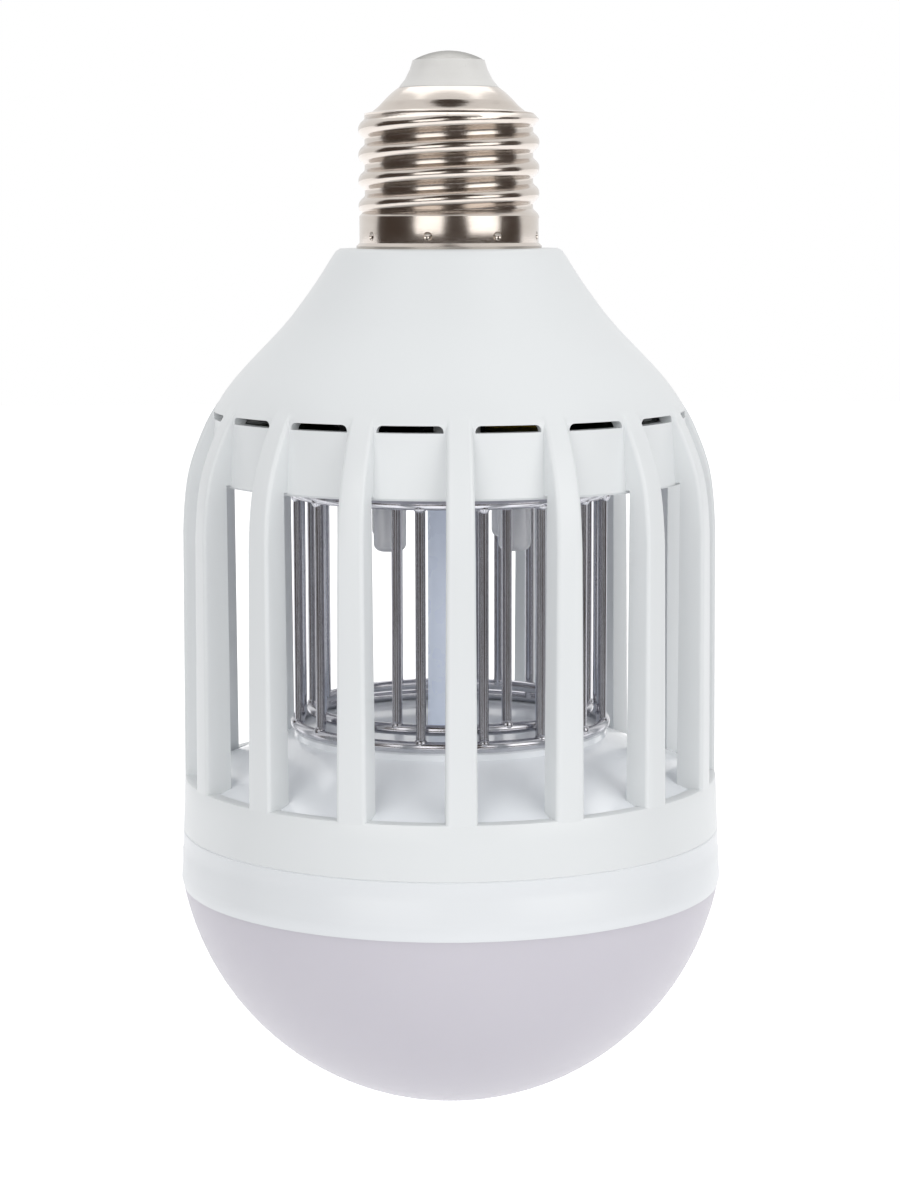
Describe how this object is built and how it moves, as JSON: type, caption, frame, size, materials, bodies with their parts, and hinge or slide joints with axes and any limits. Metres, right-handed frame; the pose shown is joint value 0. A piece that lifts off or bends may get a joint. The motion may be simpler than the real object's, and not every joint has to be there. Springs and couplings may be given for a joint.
{
  "type": "insect killer light bulb",
  "caption": "Bulb-shaped lamp with a screw cap, a ribbed cage around two nested cages of live wire, a glossy tray and a frosted round diffuser.",
  "frame": {"origin": "on the lamp's axis, in the flat top of the housing where the skirt of the screw cap stands", "axes": "+Z along the lamp's axis towards the contact of the cap, so the lamp hangs in its own frame; one rib points to -Y, the side that the picture shows"},
  "size_m": [0.0794, 0.0794, 0.1531],
  "materials": {
    "cap_metal": "bright nickel plate",
    "insulator": "white, satin",
    "contact_metal": "bright nickel plate",
    "housing_plastic": "cool white, satin",
    "holder_plastic": "cool white, satin",
    "tray_plastic": "white, high gloss",
    "ring_plastic": "cool white, satin",
    "tube_plastic": "pale blue white",
    "diffuser_plastic": "frosted, smooth",
    "grid_wire": "bright drawn wire",
    "uv_epoxy": "clear, slightly violet",
    "board_green": "dark green",
    "board_white": "white solder mask",
    "heat_aluminium": "pressed plate",
    "screw_steel": "zinc plate",
    "tinned_wire": "tinned",
    "capacitor_sleeve": "black sleeve",
    "ferrite": "dark grey ferrite",
    "coil_tape": "yellow tape",
    "film_red": "dark red dip",
    "choke_sleeve": "black sleeve",
    "fuse_case": "black case",
    "chip_black": "black moulding",
    "chip_yellow": "yellow phosphor",
    "lead_red": "red insulation",
    "lead_white": "white insulation",
    "lead_black": "black insulation"
  },
  "bodies": {
    "root": {"screw_shell": "cap_metal", "cap_insulator": "insulator", "centre_contact": "contact_metal", "cage_housing": "housing_plastic", "grid_holder": "holder_plastic", "holder_screws": "screw_steel", "driver_board": "board_green", "component_legs": "tinned_wire", "bulk_capacitor": "capacitor_sleeve", "transformer_core": "ferrite", "transformer_coil": "coil_tape", "film_capacitors": "film_red", "line_choke": "choke_sleeve", "line_fuse": "fuse_case", "multiplier_diodes": "chip_black", "driver_chips": "chip_black", "uv_board": "board_green", "link_pins": "tinned_wire", "uv_legs": "tinned_wire", "uv_lamps": "uv_epoxy", "outer_grid": "grid_wire", "inner_grid": "grid_wire", "grid_leads": "lead_red", "centre_tube": "tube_plastic", "lamp_leads": "lead_white", "contact_lead": "lead_white", "shell_lead": "lead_black", "grid_tray": "tray_plastic", "lamp_ring": "ring_plastic", "heat_plate": "heat_aluminium", "lamp_board": "board_white", "lamp_chips": "chip_yellow", "plate_screws": "screw_steel", "diffuser": "diffuser_plastic"}
  },
  "joints": []
}
